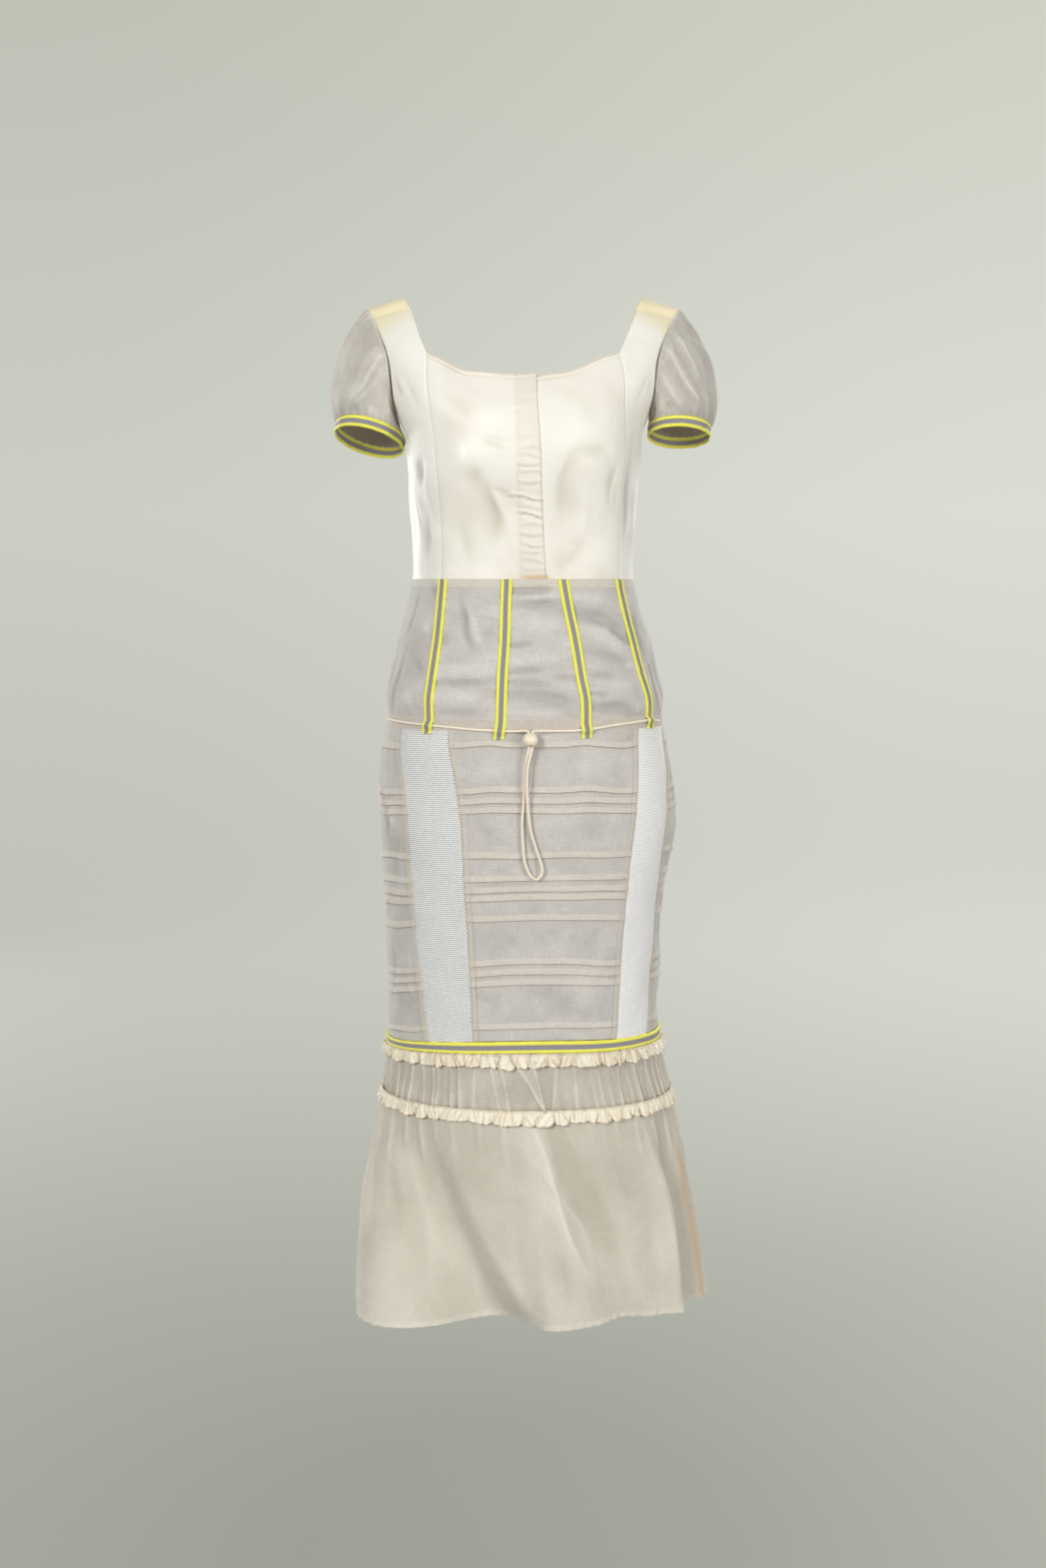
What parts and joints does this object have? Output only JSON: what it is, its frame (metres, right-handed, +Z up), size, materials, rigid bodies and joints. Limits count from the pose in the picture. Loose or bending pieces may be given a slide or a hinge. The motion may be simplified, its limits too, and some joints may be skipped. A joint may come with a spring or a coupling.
{
  "type": "dress",
  "caption": "Fitted patchwork dress with puff sleeves, tape-trimmed midriff, drawcord, tucked hips with mesh strips, ruffled tier and long flounce.",
  "frame": {"origin": "midway between the tops of the shoulder straps, where the wearer holds the dress up", "axes": "+Z up, the front faces -Y, the wearer's left is +X"},
  "size_m": [0.443, 0.2678, 1.1748],
  "materials": {
    "satin": "ivory cotton satin, soft sheen",
    "side_satin": "whiter satin, soft sheen",
    "strap_satin": "straw-coloured satin",
    "lawn": "sheer beige lawn",
    "flounce_lawn": "sheer warm beige lawn",
    "eyelet_mesh": "white mesh with small round holes",
    "striped_tape": "woven tape, yellow with a grey middle",
    "ruffle_satin": "ivory satin frill",
    "cord": "matt round cord",
    "bead_wood": "pale polished wood"
  },
  "bodies": {
    "root": {"bodice_front_right": "satin", "placket": "satin", "bodice_front_left": "satin", "bodice_back": "satin", "side_front_right": "side_satin", "side_front_left": "side_satin", "strap_right": "strap_satin", "strap_left": "strap_satin", "sleeve_right": "lawn", "sleeve_left": "lawn", "midriff_front": "lawn", "midriff_back": "lawn", "hip_front": "lawn", "hip_side_right": "lawn", "hip_side_left": "lawn", "hip_back": "lawn", "band_front": "lawn", "band_back": "lawn", "flounce_front": "flounce_lawn", "flounce_back": "flounce_lawn", "mesh_right": "eyelet_mesh", "mesh_left": "eyelet_mesh", "tape_1": "striped_tape", "tape_2": "striped_tape", "tape_3": "striped_tape", "tape_4": "striped_tape", "cuff_right": "striped_tape", "cuff_left": "striped_tape", "hip_tape_front": "striped_tape", "hip_tape_back": "striped_tape", "ruffle_upper_front": "ruffle_satin", "ruffle_upper_back": "ruffle_satin", "ruffle_lower_front": "ruffle_satin", "ruffle_lower_back": "ruffle_satin", "drawcord": "cord", "bead": "bead_wood"}
  },
  "joints": []
}
